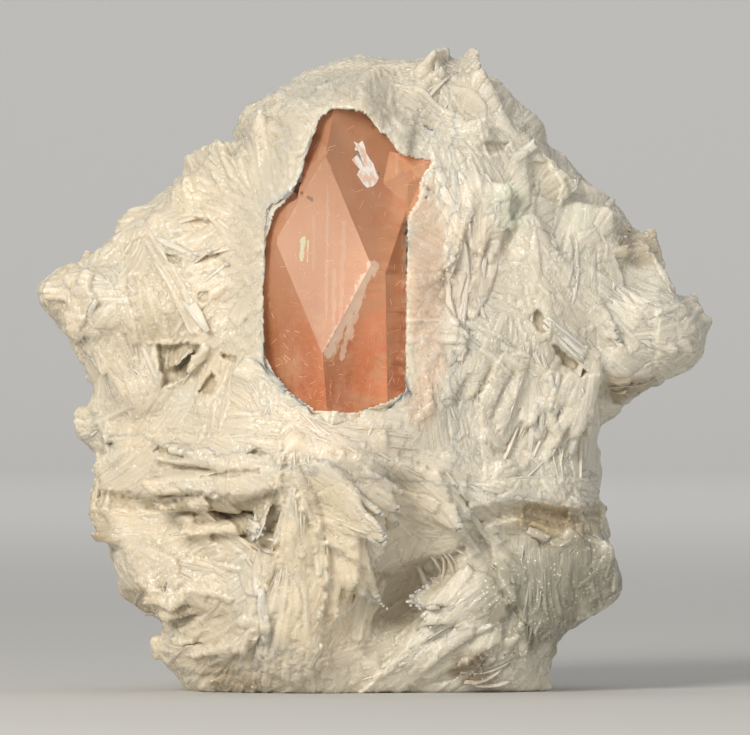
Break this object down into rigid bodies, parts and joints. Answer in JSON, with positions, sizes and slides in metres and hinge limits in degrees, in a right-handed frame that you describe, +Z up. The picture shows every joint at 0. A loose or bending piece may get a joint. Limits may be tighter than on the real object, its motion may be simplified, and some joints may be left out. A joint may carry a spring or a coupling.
{
  "type": "morganite crystal on bladed albite",
  "caption": "Faceted see-through peach crystal standing on a rough upright plate of white bladed feldspar, cut flat underneath.",
  "frame": {"origin": "on the surface the specimen stands on, under the middle of its box", "axes": "+Z up along the crystal, +X to the right of a viewer who faces the crystal, -Y towards that viewer"},
  "size_m": [0.1146, 0.0676, 0.1082],
  "materials": {
    "albite": "pearly white, slightly see-through blades with a fine lengthwise grain",
    "morganite": "clear peach, glassy faces with fine growth lines"
  },
  "bodies": {
    "root": {"albite_plate": "albite", "morganite_crystal": "morganite"}
  },
  "joints": []
}
